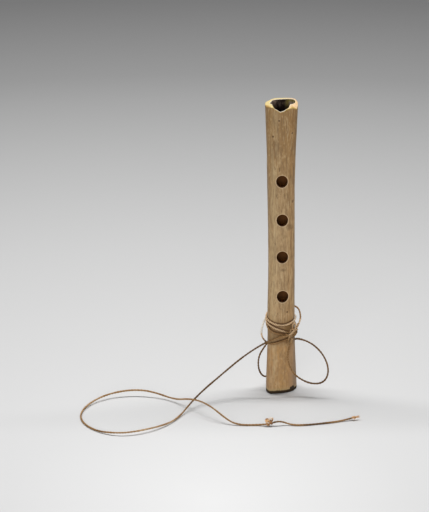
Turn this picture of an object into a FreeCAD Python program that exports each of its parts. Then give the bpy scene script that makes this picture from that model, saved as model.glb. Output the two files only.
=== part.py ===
"""End-blown notched flute made of one limb bone, with its fibre cord.

The bone stands on its foot: +Z runs from the foot to the lip, the finger holes
face -Y, and the origin is the middle of the bone's box at the foot. The cord is
wound round the foot, hangs beside it in two bights and lies on the same surface.
"""
import FreeCAD
import Part
import Sketcher

import math
import os

Vector = FreeCAD.Vector
Rotation = FreeCAD.Rotation
Placement = FreeCAD.Placement

SIZES = {
    # The bone's outside
    "bone_length": 160.0,
    "head_width": 16.9,
    "head_depth": 14.8,
    "waist_width": 13.8,
    "waist_depth": 11.7,
    "foot_width": 16.45,
    "foot_depth": 12.7,
    "lean_left": 1.4,
    "lean_back": 1.5,
    "rim_bevel": 0.5,
    "lip_bevel": 1.5,
    "lip_angle": 45.0,
    "foot_bevel": 0.8,
    # The marrow cavity, which is the bore
    "wall": 2.0,
    "cavity_set": 0.35,
    "overrun": 2.0,
    # Finger holes, counted from the lip
    "hole_width": 5.8,
    "hole_tall": 6.4,
    "first_hole_height": 119.4,
    "second_hole_height": 98.0,
    "third_hole_height": 77.5,
    "fourth_hole_height": 55.4,
    "first_hole_offset": 0.0,
    "second_hole_offset": 0.4,
    "third_hole_offset": 0.55,
    "fourth_hole_offset": 0.9,
    # The blowing notch in the lip
    "notch_width": 8.2,
    "notch_depth": 2.8,
    "notch_offset": -0.95,
    "notch_round": 0.7,
    # A chip out of the foot
    "chip_radius": 1.7,
    "chip_bite": 0.7,
    "chip_height": 0.9,
    # The cord and its knots
    "cord_diameter": 0.9,
    "cord_lead": 2.4,
    "lashing_length": 6.0,
    "lashing_core": 1.9,
    "lashing_ring": 1.06,
    "lashing_pitch": 1.1,
    "lashing_reach": 3.5,
    "cut_end_reach": 4.3,
    "stopper_length": 4.0,
    "stopper_core": 2.6,
    "stopper_ring": 1.3,
    "stopper_pitch": 0.95,
    "stopper_reach": 3.2,
    "tip_length": 2.4,
    "tip_core": 1.7,
    "tip_ring": 0.75,
    "tip_pitch": 0.75,
    "tip_reach": 1.9,
    "tuft_length": 3.4,
    "tuft_flare": 0.7,
}

# Squareness of the bone's sections: 2 is an ellipse, more is squarer.
OUTSIDE_POWER = 2.4
CAVITY_POWER = 2.1

# Along the bone: height, flare towards the foot's size, flare towards the head's
# size, lean to the left, and skew, which carries the front left corner forward.
BODY_SHARES = (
    (0.00, 1.00, 0.00, 0.00, 0.38),
    (0.07, 0.73, 0.00, 0.13, 0.33),
    (0.14, 0.40, 0.00, 0.21, 0.24),
    (0.27, 0.14, 0.00, 0.34, 0.10),
    (0.42, 0.00, 0.00, 0.36, 0.04),
    (0.60, 0.00, 0.02, 0.59, 0.00),
    (0.74, 0.00, 0.16, 0.85, 0.00),
    (0.84, 0.00, 0.36, 0.86, -0.02),
    (0.92, 0.00, 0.68, 0.91, -0.05),
    (1.00, 0.00, 1.00, 1.00, -0.08),
)
OUTLINE_STEPS = 24

# Each arc of a free cord takes this share of the shorter run beside it.
BEND_SHARE = 0.45

# The gap is measured between places on the winding that lie this many half diameters apart.
GAP_STEPS = 7

# The winding, a quarter turn at a time: quarter turns from the front, the middle
# of the cord off the bone, its height, and its slope, as rise over run.
WINDING_ROUTE = (
    (1, 3.0, 42.4, 2.2),
    (2, 1.1, 45.0, -0.05),
    (3, 1.1, 41.8, -0.28),
    (4, 0.9, 39.5, -0.02),
    (5, 0.9, 40.9, 0.12),
    (6, 0.9, 41.0, -0.05),
    (7, 1.1, 39.2, -0.22),
    (8, 0.9, 37.0, -0.06),
    (9, 1.1, 38.4, 0.16),
    (10, 0.9, 38.7, -0.06),
    (11, 0.9, 36.1, -0.12),
    (12, 0.9, 35.3, -0.05),
    (13, 1.1, 34.8, 0.10),
    (14, 2.7, 41.6, 0.25),
    (15, 3.0, 35.0, -1.60),
    (16, 0.9, 29.8, -0.05),
    (17, 1.4, 32.2, 0.10),
    (18, 1.7, 29.4, -0.30),
)

# The two bights beside the foot, from behind the bone to the lashing knot.
BIGHT_ROUTE = (
    (-6.6, 5.0, 26.2),
    (-9.3, 1.9, 22.4),
    (-11.2, 0.2, 17.6),
    (-11.5, -0.1, 12.2),
    (-9.9, 1.2, 7.6),
    (-6.6, 4.4, 5.4),
    (-3.0, 8.0, 7.0),
    (1.6, 9.0, 11.6),
    (5.8, 8.4, 17.2),
    (8.8, 5.8, 22.8),
    (10.4, 1.8, 27.2),
    (13.6, -2.0, 28.9),
    (18.0, -4.8, 26.9),
    (21.8, -7.2, 22.9),
    (24.6, -9.2, 18.0),
    (25.0, -10.4, 12.6),
    (22.4, -10.8, 8.0),
    (17.4, -9.9, 6.7),
    (12.6, -9.0, 7.8),
    (8.5, -8.6, 10.9),
    (5.5, -8.5, 15.4),
    (4.0, -8.5, 20.4),
    (4.2, -8.6, 25.0),
)

# The free end, from the lashing knot over the floor to the stopper knot.
RUN_ROUTE = (
    (-4.2, -8.5, 31.9),
    (-9.2, -7.4, 28.9),
    (-14.7, -6.3, 24.7),
    (-20.6, -7.0, 20.4),
    (-26.6, -10.0, 16.4),
    (-32.7, -13.3, 12.2),
    (-38.7, -17.1, 8.4),
    (-43.8, -21.5, 5.2),
    (-48.2, -27.5, 2.6),
    (-51.8, -33.9, 0.7),
    (-56.1, -41.6, 0.7),
    (-61.4, -47.5, 1.3),
    (-67.5, -52.0, 1.8),
    (-74.0, -55.2, 1.9),
    (-80.5, -56.7, 1.7),
    (-87.1, -55.9, 1.4),
    (-93.3, -53.0, 0.7),
    (-98.9, -48.0, 0.6),
    (-102.8, -41.0, 0.6),
    (-104.0, -33.0, 0.6),
    (-102.0, -25.2, 0.7),
    (-97.6, -18.7, 1.5),
    (-91.8, -13.9, 2.3),
    (-85.1, -10.9, 2.9),
    (-78.0, -9.7, 3.4),
    (-70.9, -10.1, 3.4),
    (-64.1, -12.0, 2.5),
    (-58.0, -15.2, 1.6),
    (-53.3, -19.0, 2.4),
    (-48.8, -23.0, 4.7),
    (-43.5, -28.1, 6.5),
    (-38.5, -33.6, 6.9),
    (-34.0, -38.0, 5.6),
    (-30.0, -41.5, 3.6),
    (-25.5, -44.2, 1.4),
    (-20.1, -45.6, 0.6),
    (-15.4, -46.0, 0.6),
)

# The cord's end beyond the stopper knot.
TAIL_ROUTE = (
    (3.2, -45.3, 1.4),
    (8.2, -45.8, 0.6),
    (12.8, -44.9, 0.6),
    (17.8, -43.2, 0.6),
    (23.0, -41.5, 0.6),
    (27.9, -40.2, 0.6),
)

# Knot middles, and the ways in which the cord leaves them.
LASHING_MIDDLE = (6.1, -7.4, 34.6)
LASHING_UP = (0.57, 0.62, 0.54)
LASHING_LEFT = (-0.96, -0.14, -0.24)
LASHING_DOWN = (-0.26, -0.20, -0.95)
LASHING_CUT = (0.74, 0.66, -0.12)
STOPPER_MIDDLE = (-6.3, -44.9, 2.1)
STOPPER_LEFT = (-0.96, -0.13, -0.25)
STOPPER_RIGHT = (0.99, 0.02, 0.05)
TIP_MIDDLE = (38.2, -38.6, 1.6)
TIP_LEFT = (-0.97, -0.17, -0.05)
TIP_RIGHT = (0.96, 0.25, 0.08)

os.makedirs("parts", exist_ok=True)
document = FreeCAD.newDocument("BoneFlute")
sheet = document.addObject("Spreadsheet::Sheet", "Sizes")
for row, (alias, value) in enumerate(SIZES.items(), start=1):
    sheet.set(f"A{row}", alias.replace("_", " "))
    sheet.set(f"B{row}", str(value))
    sheet.setAlias(f"B{row}", alias)
document.recompute()


def size(alias):
    """A driving dimension as the sheet holds it."""
    return float(getattr(sheet, alias))


def between(low, high, share):
    """The value a share of the way from low to high."""
    return low + (high - low) * share


def unit(vector):
    """The vector at length one."""
    return vector / vector.Length


# The bone's outside and its marrow cavity

FOOT_RIGHT = (size("lean_left") + (size("head_width") - size("foot_width")) / 2) / 2
FOOT_BACK = -(size("lean_back") + (size("head_depth") - size("foot_depth")) / 2) / 2


def body_shares(height):
    """The row of shares at a height, between the two rows beside it."""
    share = min(max(height / size("bone_length"), 0), 1)
    for low, high in zip(BODY_SHARES, BODY_SHARES[1:]):
        if share <= high[0]:
            part = (share - low[0]) / (high[0] - low[0])
            return [between(a, b, part) for a, b in zip(low, high)]


def bone_section(height):
    """Middle, width, depth and skew of the bone at a height."""
    share, foot, head, lean, skew = body_shares(height)
    width = (size("waist_width") + (size("foot_width") - size("waist_width")) * foot
             + (size("head_width") - size("waist_width")) * head)
    depth = (size("waist_depth") + (size("foot_depth") - size("waist_depth")) * foot
             + (size("head_depth") - size("waist_depth")) * head)
    middle = Vector(FOOT_RIGHT - size("lean_left") * lean, FOOT_BACK + size("lean_back") * share, height)
    return middle, width, depth, skew


def rounded_wire(middle, width, depth, skew, power):
    """Closed curve |x|^power + |y|^power = 1, skewed by y + skew x and scaled to the width and depth."""
    dual = power / (power - 1)
    reach = (abs(skew) ** dual + 1) ** (1 / dual)
    points = []
    for step in range(OUTLINE_STEPS):
        angle = 2 * math.pi * step / OUTLINE_STEPS
        across = math.copysign(abs(math.cos(angle)) ** (2 / power), math.cos(angle))
        along = math.copysign(abs(math.sin(angle)) ** (2 / power), math.sin(angle))
        offset = Vector(width / 2 * across, depth / 2 * (along + skew * across) / reach, 0)
        points.append(middle + offset)
    curve = Part.BSplineCurve()
    curve.interpolate(Points=points, PeriodicFlag=True)
    return Part.Wire([curve.toShape()])


def feature(name, shape):
    """A document object that holds a finished shape."""
    item = document.addObject("Part::Feature", name)
    item.Shape = shape
    return item


def section_wire(height, inset, power):
    """The bone's outline at a height, set in by a bevel."""
    middle, width, depth, skew = bone_section(height)
    return rounded_wire(middle, width - 2 * inset, depth - 2 * inset, skew, power)


def outside_shape():
    """Solid skin of the bone: a loft through its sections, a ruled bevel band and a flat at each end."""
    top = size("bone_length")
    heights = [size("foot_bevel")] + [row[0] * top for row in BODY_SHARES[1:-1]] + [top - size("rim_bevel")]
    wires = [section_wire(height, 0, OUTSIDE_POWER) for height in heights]
    foot_edge = section_wire(0, size("foot_bevel"), OUTSIDE_POWER)
    rim_edge = section_wire(top, size("rim_bevel"), OUTSIDE_POWER)
    skin = Part.makeLoft(wires, False, False).Faces
    skin += Part.makeLoft([foot_edge, wires[0]], False, True).Faces
    skin += Part.makeLoft([wires[-1], rim_edge], False, True).Faces
    skin += [Part.Face(foot_edge), Part.Face(rim_edge)]
    shell = Part.makeShell(skin)
    shell.sewShape()
    return Part.Solid(shell)


def cavity_shape():
    """Loft through the bore's sections, a wall inside the bone and past both its ends."""
    lift = size("overrun")
    wires = []
    for row in BODY_SHARES:
        height = row[0] * size("bone_length")
        middle, width, depth, skew = bone_section(height)
        middle.x += size("cavity_set") * row[0]
        if row is BODY_SHARES[0]:
            middle.z -= lift
        if row is BODY_SHARES[-1]:
            middle.z += lift
        bore_width = width - 2 * size("wall")
        bore_depth = depth - 2 * size("wall")
        wires.append(rounded_wire(middle, bore_width, bore_depth, skew, CAVITY_POWER))
    return Part.makeLoft(wires, True, False)


outside = feature("bone_outside", outside_shape())
cavity = feature("marrow_cavity", cavity_shape())

# Finger holes: upright ellipses bored straight in from the front

HOLES = ("first", "second", "third", "fourth")
# Turns a shape that lies flat so that it stands up and faces -Y or +Y.
UPRIGHT = Rotation(Vector(1, 1, 1), -120)


def finger_hole(which):
    """An upright elliptical cutter from the middle of the bore out through the front wall."""
    ellipse = document.addObject("Part::Ellipse", f"{which}_hole_outline")
    ellipse.setExpression("MajorRadius", "Sizes.hole_tall / 2")
    ellipse.setExpression("MinorRadius", "Sizes.hole_width / 2")
    ellipse.Placement = Placement(Vector(), UPRIGHT)
    ellipse.setExpression("Placement.Base.x", f"Sizes.{which}_hole_offset")
    ellipse.setExpression("Placement.Base.z", f"Sizes.{which}_hole_height")
    hole = document.addObject("Part::Extrusion", f"{which}_hole")
    hole.Base = ellipse
    hole.DirMode = "Custom"
    hole.Dir = Vector(0, -1, 0)
    hole.setExpression("LengthFwd", "Sizes.head_depth")
    hole.Solid = True
    return hole


holes = [finger_hole(which) for which in HOLES]

# The blowing notch: a wide V with a round bottom, cut through the front of the lip

notch_plan = document.addObject("Sketcher::SketchObject", "notch_outline")
notch_plan.Placement = Placement(Vector(), Rotation(Vector(1, 0, 0), 90))
notch_plan.setExpression("Placement.Base.x", "Sizes.notch_offset")
notch_plan.setExpression("Placement.Base.z", "Sizes.bone_length")
half_notch = size("notch_width") / 2
notch_corners = (
    Vector(-half_notch, 0, 0),
    Vector(0, -size("notch_depth"), 0),
    Vector(half_notch, 0, 0),
    Vector(half_notch, size("overrun"), 0),
    Vector(-half_notch, size("overrun"), 0),
)
for near, far in zip(notch_corners, notch_corners[1:] + notch_corners[:1]):
    notch_plan.addGeometry(Part.LineSegment(near, far), False)
X_AXIS_INDEX, Y_AXIS_INDEX = -1, -2
START_INDEX, END_INDEX = 1, 2
LEFT_FLANK, RIGHT_FLANK, RIGHT_SIDE, TOP, LEFT_SIDE = notch_lines = range(len(notch_corners))
for line in notch_lines:
    following = (line + 1) % len(notch_lines)
    notch_plan.addConstraint(Sketcher.Constraint("Coincident", line, END_INDEX, following, START_INDEX))
notch_plan.addConstraint(Sketcher.Constraint("PointOnObject", LEFT_FLANK, START_INDEX, X_AXIS_INDEX))
notch_plan.addConstraint(Sketcher.Constraint("PointOnObject", LEFT_FLANK, END_INDEX, Y_AXIS_INDEX))
notch_plan.addConstraint(
    Sketcher.Constraint("Symmetric", LEFT_FLANK, START_INDEX, RIGHT_FLANK, END_INDEX, Y_AXIS_INDEX))
notch_plan.addConstraint(Sketcher.Constraint("Vertical", RIGHT_SIDE))
notch_plan.addConstraint(Sketcher.Constraint("Vertical", LEFT_SIDE))
notch_plan.addConstraint(Sketcher.Constraint("Horizontal", TOP))
width_row = notch_plan.addConstraint(
    Sketcher.Constraint("DistanceX", LEFT_FLANK, START_INDEX, RIGHT_FLANK, END_INDEX, size("notch_width")))
depth_row = notch_plan.addConstraint(
    Sketcher.Constraint("DistanceY", LEFT_FLANK, END_INDEX, LEFT_FLANK, START_INDEX, size("notch_depth")))
lift_row = notch_plan.addConstraint(
    Sketcher.Constraint("DistanceY", RIGHT_SIDE, START_INDEX, RIGHT_SIDE, END_INDEX, size("overrun")))
for number, name, alias in ((width_row, "width", "notch_width"), (depth_row, "depth", "notch_depth"),
                            (lift_row, "lift", "overrun")):
    notch_plan.renameConstraint(number, name)
    notch_plan.setExpression(f"Constraints.{name}", f"Sizes.{alias}")
notch_block = document.addObject("Part::Extrusion", "notch_block")
notch_block.Base = notch_plan
notch_block.DirMode = "Custom"
notch_block.Dir = Vector(0, -1, 0)
notch_block.setExpression("LengthFwd", "Sizes.head_depth")
notch_block.Solid = True
document.recompute()
notch_cutter = document.addObject("Part::Fillet", "notch_cutter")
notch_cutter.Base = notch_block
notch_cutter.Edges = [
    (number, size("notch_round"), size("notch_round"))
    for number, edge in enumerate(notch_block.Shape.Edges, start=1)
    if edge.BoundBox.ZMax < size("bone_length") - size("notch_depth") / 2
]

# The worn lip beside the notch: a sloping flat across the front of the rim

head_middle, head_width, head_depth, head_skew = bone_section(size("bone_length"))
lip_flat = document.addObject("Part::Box", "lip_flat")
lip_flat.setExpression("Length", "2 * Sizes.head_width")
lip_flat.setExpression("Width", "Sizes.head_depth")
lip_flat.setExpression("Height", "Sizes.head_depth")
lip_reach = size("lip_bevel") + size("overrun")
lip_front = head_middle.y - head_depth / 2 - size("overrun")
lip_flat.Placement = Placement(
    Vector(-size("head_width"), lip_front, size("bone_length") - lip_reach),
    Rotation(Vector(1, 0, 0), size("lip_angle")))

# A chip broken out of the foot at the front right

foot_middle, foot_width, foot_depth, foot_skew = bone_section(0)
chip = document.addObject("Part::Sphere", "foot_chip")
chip.setExpression("Radius", "Sizes.chip_radius")
chip_middle = Vector(
    foot_middle.x + foot_width / 2 + size("chip_radius") - size("foot_bevel") - size("chip_bite"),
    foot_middle.y, size("chip_height"))
chip.Placement = Placement(chip_middle, UPRIGHT)

cutters = document.addObject("Part::MultiFuse", "bone_cutters")
cutters.Shapes = holes + [notch_cutter, lip_flat, chip]
carved = document.addObject("Part::Cut", "carved_outside")
carved.Base = outside
carved.Tool = cutters
bone = document.addObject("Part::Cut", "bone")
bone.Base = carved
bone.Tool = cavity
bone.Label = "bone_tube"
document.recompute()


# The cord: tubes of one diameter

def arc_edge(begin, corner, end):
    """The arc that touches the two legs begin-corner and corner-end, which are equally long."""
    chord = end - begin
    rise = unit(chord).getAngle(corner - begin)
    sagitta = chord.Length / 2 * math.tan(rise / 2)
    half_way = begin + chord / 2
    middle = half_way + unit(corner - half_way) * sagitta
    return Part.Arc(begin, middle, end).toShape()


def swept(node, edges, heading):
    """The cord's round section carried along the edges, as a node of its own."""
    path = Part.Wire(edges)
    radius = size("cord_diameter") / 2
    profile = Part.Wire([Part.Circle(edges[0].firstVertex().Point, heading, radius).toShape()])
    item = feature(node, path.makePipeShell([profile], True, False))
    expected = math.pi * radius ** 2 * path.Length
    print(f"{node}: {path.Length:.1f} long, volume {item.Shape.Volume:.2f} for {expected:.2f}")
    return item


def free_cord(node, begin, begin_way, points, end, end_way):
    """Straight runs joined by tangent arcs, each as large as its two runs allow.

    The cord leaves begin along begin_way and comes home to end against end_way.
    """
    lead = size("cord_lead")
    route = [begin, begin + begin_way * lead]
    route += [Vector(*point) for point in points]
    route += [end + end_way * lead, end]
    edges = []
    radii = []
    begin = route[0]
    for before, corner, after in zip(route, route[1:], route[2:]):
        arriving = corner - before
        leaving = after - corner
        reach = BEND_SHARE * min(arriving.Length, leaving.Length)
        radii.append(reach / math.tan(arriving.getAngle(leaving) / 2))
        enter = corner - unit(arriving) * reach
        leave = corner + unit(leaving) * reach
        edges.append(Part.LineSegment(begin, enter).toShape())
        edges.append(arc_edge(enter, corner, leave))
        begin = leave
    edges.append(Part.LineSegment(begin, route[-1]).toShape())
    print(f"{node}: radii " + " ".join(f"{radius:.1f}" for radius in radii))
    return swept(node, edges, route[1] - route[0])


def biarc_edges(begin, heading, end, arrival):
    """Two arcs that leave begin along heading, reach end along arrival and touch between."""
    span = end - begin
    sum_way = heading + arrival
    spread = 2 * (1 - heading.dot(arrival))
    along = span.dot(sum_way)
    leg = (math.sqrt(along ** 2 + spread * span.dot(span)) - along) / spread
    first_corner = begin + heading * leg
    second_corner = end - arrival * leg
    joint = (first_corner + second_corner) / 2
    return [arc_edge(begin, first_corner, joint), arc_edge(joint, second_corner, end)]


def winding_station(quarter, off, height, slope):
    """Place and heading of the winding at one side of the bone, quarter turns from the front."""
    middle, width, depth, skew = bone_section(height)
    angle = quarter * math.pi / 2
    across, along = math.sin(angle), -math.cos(angle)
    place = middle + Vector(
        across * (width / 2 + off), along * (depth / 2 + off) + skew * across * depth / 2, 0)
    return place, unit(Vector(-along, across - skew * along * depth / width, slope))


def least_gap(edges, diameter):
    """The least gap between stretches of the tube that aren't neighbours along it."""
    points = Part.Wire(edges).discretize(Distance=diameter / 2)
    least = min(
        (points[one] - points[other]).Length
        for one in range(len(points)) for other in range(one + GAP_STEPS, len(points)))
    return least - diameter


def knot(node, middle, way, prefix, exits):
    """A core with three wraps of the cord round it, and a stub of cord along each exit."""
    middle = Vector(*middle)
    turned = Rotation(Vector(0, 0, 1), way)
    core = document.addObject("Part::Ellipsoid", f"{node}_core")
    core.setExpression("Radius1", f"Sizes.{prefix}_length / 2")
    core.setExpression("Radius2", f"Sizes.{prefix}_core / 2")
    core.setExpression("Radius3", f"Sizes.{prefix}_core / 2")
    core.Placement = Placement(middle, turned)
    pieces = [core]
    for step in (-1, 0, 1):
        wrap = document.addObject("Part::Torus", f"{node}_wrap")
        wrap.setExpression("Radius1", f"Sizes.{prefix}_ring")
        wrap.setExpression("Radius2", "Sizes.cord_diameter / 2")
        wrap.Placement = Placement(middle + way * step * size(f"{prefix}_pitch"), turned)
        pieces.append(wrap)
    for exit_way, reach in exits:
        stub = document.addObject("Part::Cylinder", f"{node}_stub")
        stub.setExpression("Radius", "Sizes.cord_diameter / 2")
        stub.setExpression("Height", f"Sizes.{reach}")
        stub.Placement = Placement(middle, Rotation(Vector(0, 0, 1), exit_way))
        pieces.append(stub)
    fused = document.addObject("Part::MultiFuse", node)
    fused.Shapes = pieces
    return fused


def exit_point(middle, way, reach):
    """Where a stub of cord ends."""
    return Vector(*middle) + way * size(reach)


lashing_up, lashing_left, lashing_down, lashing_cut = (
    unit(Vector(*way)) for way in (LASHING_UP, LASHING_LEFT, LASHING_DOWN, LASHING_CUT))
stopper_left, stopper_right, tip_left, tip_right = (
    unit(Vector(*way)) for way in (STOPPER_LEFT, STOPPER_RIGHT, TIP_LEFT, TIP_RIGHT))

lashing_knot = knot("lashing_knot", LASHING_MIDDLE, lashing_up, "lashing", (
    (lashing_up, "lashing_reach"), (lashing_left, "lashing_reach"),
    (lashing_down, "lashing_reach"), (lashing_cut, "cut_end_reach")))
stopper_knot = knot("stopper_knot", STOPPER_MIDDLE, stopper_right, "stopper", (
    (stopper_left, "stopper_reach"), (stopper_right, "stopper_reach")))

# The frayed tuft past the last knot is a cone that opens towards the cord's end.
tip_body = knot("tip_body", TIP_MIDDLE, tip_right, "tip", ((tip_left, "tip_reach"),))
tuft = document.addObject("Part::Cone", "tip_tuft")
tuft.setExpression("Radius1", "Sizes.cord_diameter / 2")
tuft.setExpression("Radius2", "Sizes.tuft_flare")
tuft.setExpression("Height", "Sizes.tuft_length")
tuft.Placement = Placement(Vector(*TIP_MIDDLE), Rotation(Vector(0, 0, 1), tip_right))
tip_knot = document.addObject("Part::Fuse", "tip_knot")
tip_knot.Base = tip_body
tip_knot.Tool = tuft

# The winding, whose ends run straight for one diameter
straight_end = size("cord_diameter")
place = exit_point(LASHING_MIDDLE, lashing_up, "lashing_reach")
heading = lashing_up
turns = [Part.LineSegment(place, place + heading * straight_end).toShape()]
place = place + heading * straight_end
for row in WINDING_ROUTE:
    next_place, next_heading = winding_station(*row)
    turns += biarc_edges(place, heading, next_place, next_heading)
    place, heading = next_place, next_heading
turns.append(Part.LineSegment(place, place + heading * straight_end).toShape())
winding_end = place + heading * straight_end
winding = swept("cord_winding", turns, lashing_up)
print(f"cord_winding: least gap to itself {least_gap(turns, straight_end):.2f}, "
      f"least radius {min(edge.Curve.Radius for edge in turns if hasattr(edge.Curve, 'Radius')):.2f}")

lashing_left_end = exit_point(LASHING_MIDDLE, lashing_left, "lashing_reach")
lashing_down_end = exit_point(LASHING_MIDDLE, lashing_down, "lashing_reach")
stopper_left_end = exit_point(STOPPER_MIDDLE, stopper_left, "stopper_reach")
stopper_right_end = exit_point(STOPPER_MIDDLE, stopper_right, "stopper_reach")
tip_left_end = exit_point(TIP_MIDDLE, tip_left, "tip_reach")
bights = free_cord("cord_bights", winding_end, heading, BIGHT_ROUTE, lashing_down_end, lashing_down)
run = free_cord("cord_run", lashing_left_end, lashing_left, RUN_ROUTE, stopper_left_end, stopper_left)
tail = free_cord("cord_tail", stopper_right_end, stopper_right, TAIL_ROUTE, tip_left_end, tip_left)
document.recompute()

NODES = (bone, winding, bights, lashing_knot, run, stopper_knot, tail, tip_knot)
faults = [item.Name for item in document.Objects if "Invalid" in item.State or "Error" in item.State]
faults += [item.Name for item in NODES if item.Shape.isNull() or not item.Shape.isValid()]
if faults:
    raise RuntimeError("objects that failed: " + ", ".join(faults))
for item in NODES:
    box = item.Shape.BoundBox
    print(f"{item.Label}: solids {len(item.Shape.Solids)}, volume {item.Shape.Volume:.1f}, "
          f"x {box.XMin:.2f} to {box.XMax:.2f}, y {box.YMin:.2f} to {box.YMax:.2f}, "
          f"z {box.ZMin:.2f} to {box.ZMax:.2f}")
    item.Shape.exportStep(f"parts/{item.Label}.step")
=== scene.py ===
import math

import bpy
import numpy as np
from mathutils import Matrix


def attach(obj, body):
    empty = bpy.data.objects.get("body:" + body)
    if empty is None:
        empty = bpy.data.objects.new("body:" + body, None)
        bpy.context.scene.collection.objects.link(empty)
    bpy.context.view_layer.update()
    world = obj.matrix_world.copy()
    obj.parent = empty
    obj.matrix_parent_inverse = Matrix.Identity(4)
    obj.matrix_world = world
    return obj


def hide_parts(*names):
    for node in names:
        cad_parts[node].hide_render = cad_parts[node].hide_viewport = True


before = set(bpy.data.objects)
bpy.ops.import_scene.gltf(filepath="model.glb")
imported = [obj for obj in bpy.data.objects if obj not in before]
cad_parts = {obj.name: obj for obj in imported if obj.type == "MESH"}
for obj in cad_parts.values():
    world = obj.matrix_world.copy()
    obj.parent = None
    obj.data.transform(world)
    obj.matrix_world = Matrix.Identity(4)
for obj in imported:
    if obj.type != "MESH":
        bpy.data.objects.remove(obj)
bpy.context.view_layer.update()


# The camera stands a metre and a half from the flute and looks down on it by
# 23 degrees through a long lens, as the photograph does.

camera = bpy.data.objects.new("camera", bpy.data.cameras.new("camera"))
camera.location = (-0.03446, -1.3815, 0.6621)
camera.rotation_euler = (math.radians(67), 0, 0)
camera.data.sensor_width = 36
camera.data.lens = 203.58
bpy.context.scene.collection.objects.link(camera)
bpy.context.scene.camera = camera


# The wound cord: one length of two-ply plant fibre, twisted by hand. It leaves
# the lashing knot, goes four times round the bone with a loop standing up at
# each side, hangs in a narrow and a wide bight beside the foot, and comes back.

# Each row is a place on the winding: how many quarters of a turn it is from the
# front, how far its centre is off the bone, its height, and how it climbs there.
WINDING_STATIONS = np.array((
    (0.80, 0.00310, 0.0402, 1.00),
    (1.00, 0.00320, 0.0418, 0.90),
    (1.30, 0.00325, 0.0442, 0.35),
    (1.60, 0.00230, 0.0451, 0.00),
    (2.00, 0.00120, 0.0445, -0.10),
    (3.00, 0.00075, 0.0419, -0.12),
    (3.50, 0.00062, 0.0410, -0.25),
    (4.05, 0.00062, 0.0394, 0.00),
    (4.50, 0.00062, 0.0405, 0.22),
    (5.00, 0.00070, 0.0412, 0.03),
    (6.00, 0.00070, 0.0411, -0.05),
    (7.00, 0.00075, 0.0400, -0.10),
    (7.50, 0.00062, 0.0390, -0.28),
    (8.00, 0.00062, 0.0365, -0.48),
    (8.30, 0.00062, 0.0348, -0.35),
    (9.00, 0.00075, 0.0355, 0.20),
    (10.0, 0.00070, 0.0383, 0.06),
    (11.0, 0.00062, 0.0388, -0.22),
    (11.5, 0.00062, 0.0360, -0.38),
    (12.0, 0.00062, 0.0344, -0.30),
    (12.4, 0.00062, 0.0328, -0.10),
    (13.0, 0.00085, 0.0334, 0.30),
    (13.5, 0.00190, 0.0368, 0.80),
    (14.0, 0.00270, 0.0418, 0.30),
    (14.5, 0.00150, 0.0422, -0.30),
    (14.85, 0.00235, 0.0381, -1.60),
    (15.1, 0.00370, 0.0328, -1.50),
    (15.35, 0.00190, 0.0296, -0.45),
    (15.6, 0.00070, 0.0288, 0.02),
    (16.0, 0.00062, 0.0303, 0.28),
    (16.4, 0.00070, 0.0316, 0.25),
    (17.0, 0.00110, 0.0324, -0.05),
    (18.0, 0.00170, 0.0294, -0.30),
))
LASHING_TO_WINDING = (
    (0.0078, -0.0056, 0.0362), (0.0088, -0.0054, 0.0380),
)
BIGHT_POINTS = (
    (-0.0040, 0.0058, 0.0272), (-0.0068, 0.0037, 0.0243), (-0.0088, 0.0017, 0.0221),
    (-0.0107, 0.0005, 0.0193), (-0.0115, -0.0001, 0.0156), (-0.0113, 0.0001, 0.0117),
    (-0.0103, 0.0008, 0.0083), (-0.0086, 0.0022, 0.0057), (-0.0068, 0.0042, 0.0046),
    (-0.0036, 0.0074, 0.0066), (0.0006, 0.0088, 0.0122), (0.0044, 0.0080, 0.0190),
    (0.0066, 0.0052, 0.0250), (0.0082, 0.0016, 0.0280), (0.0109, -0.0004, 0.0285),
    (0.0147, -0.0025, 0.0280), (0.0185, -0.0046, 0.0262), (0.0219, -0.0069, 0.0232),
    (0.0243, -0.0089, 0.0191), (0.0251, -0.0099, 0.0154), (0.0248, -0.0105, 0.0123),
    (0.0234, -0.0107, 0.0094), (0.0211, -0.0106, 0.0078), (0.0182, -0.0099, 0.0071),
    (0.0147, -0.0092, 0.0074), (0.0113, -0.0087, 0.0089), (0.0084, -0.0084, 0.0109),
    (0.0059, -0.0084, 0.0141), (0.0042, -0.0085, 0.0184), (0.0037, -0.0086, 0.0226),
    (0.0044, -0.0087, 0.0274), (0.0056, -0.0087, 0.0310), (0.0062, -0.0085, 0.0328),
)

# The bone's sections: share of its height, how much of the flare at the foot and
# at the head it has, how far it leans to the left, and how skew it is.
BONE_LENGTH = 0.160
BONE_SECTIONS = np.array((
    (0.00, 1.00, 0.00, 0.00, 0.38),
    (0.07, 0.73, 0.00, 0.13, 0.33),
    (0.14, 0.40, 0.00, 0.21, 0.24),
    (0.27, 0.14, 0.00, 0.34, 0.10),
    (0.42, 0.00, 0.00, 0.36, 0.04),
    (0.60, 0.00, 0.02, 0.59, 0.00),
    (0.74, 0.00, 0.16, 0.85, 0.00),
    (0.84, 0.00, 0.36, 0.86, -0.02),
    (0.92, 0.00, 0.68, 0.91, -0.05),
    (1.00, 0.00, 1.00, 1.00, -0.08),
))
# The shaft's width and depth and what the flares of the foot and the head add to
# them, where the foot's middle is, and how far the head leans to the left and back.
SHAFT_WIDTH, FOOT_WIDER, HEAD_WIDER = 0.0138, 0.00265, 0.0031
SHAFT_DEPTH, FOOT_DEEPER, HEAD_DEEPER = 0.0117, 0.0010, 0.0031
FOOT_ACROSS, LEANS_LEFT = 0.0008125, 0.0014
FOOT_DEEP, LEANS_BACK = -0.001275, 0.0015
OUTSIDE_POWER = 2.4


def cubic(share, span, near, far, near_slope, far_slope):
    """A smooth way from near to far over a span: the cubic that has these
    slopes at its two ends."""
    rest = 1 - share
    return (near * (1 + 2 * share) * rest ** 2 + far * (3 - 2 * share) * share ** 2
            + span * share * rest * (near_slope * rest - far_slope * share))


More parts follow.
